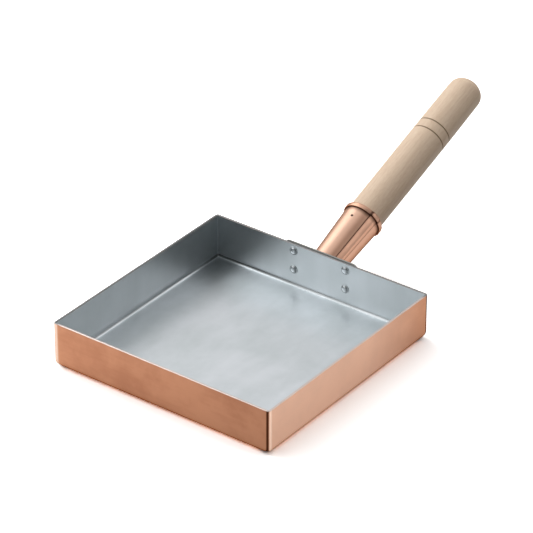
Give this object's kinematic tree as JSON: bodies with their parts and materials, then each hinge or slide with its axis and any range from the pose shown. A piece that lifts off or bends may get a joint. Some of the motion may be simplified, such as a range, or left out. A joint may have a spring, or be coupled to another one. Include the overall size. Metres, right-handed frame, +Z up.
{
  "type": "rolled omelette pan",
  "caption": "Square copper pan with straight walls, a tinned inside and a turned wooden handle in a riveted, rolled copper socket, for cooking rolled omelettes.",
  "frame": {"origin": "centre of the flat underside, on the surface that the pan stands on", "axes": "+Z up, out of the open top; +Y from the front wall towards the handle; +X to the right of someone who looks along +Y"},
  "size_m": [0.18, 0.3644, 0.0963],
  "materials": {
    "pan_copper": "bright copper sheet, softly polished",
    "plate_copper": "bright copper sheet",
    "socket_copper": "rolled copper sheet, polished",
    "wiped_tin": "hand-wiped tin, cloudy satin",
    "tinned_rivets": "tinned copper, satin",
    "bare_wood": "bare turned wood, fine grain",
    "nail_iron": "dull iron"
  },
  "bodies": {
    "root": {"pan_body": "pan_copper", "tin_lining": "wiped_tin", "socket_base_plate": "plate_copper", "handle_socket": "socket_copper", "rivet_upper_left": "tinned_rivets", "rivet_upper_right": "tinned_rivets", "rivet_lower_left": "tinned_rivets", "rivet_lower_right": "tinned_rivets", "wooden_handle": "bare_wood", "handle_nail": "nail_iron"}
  },
  "joints": []
}
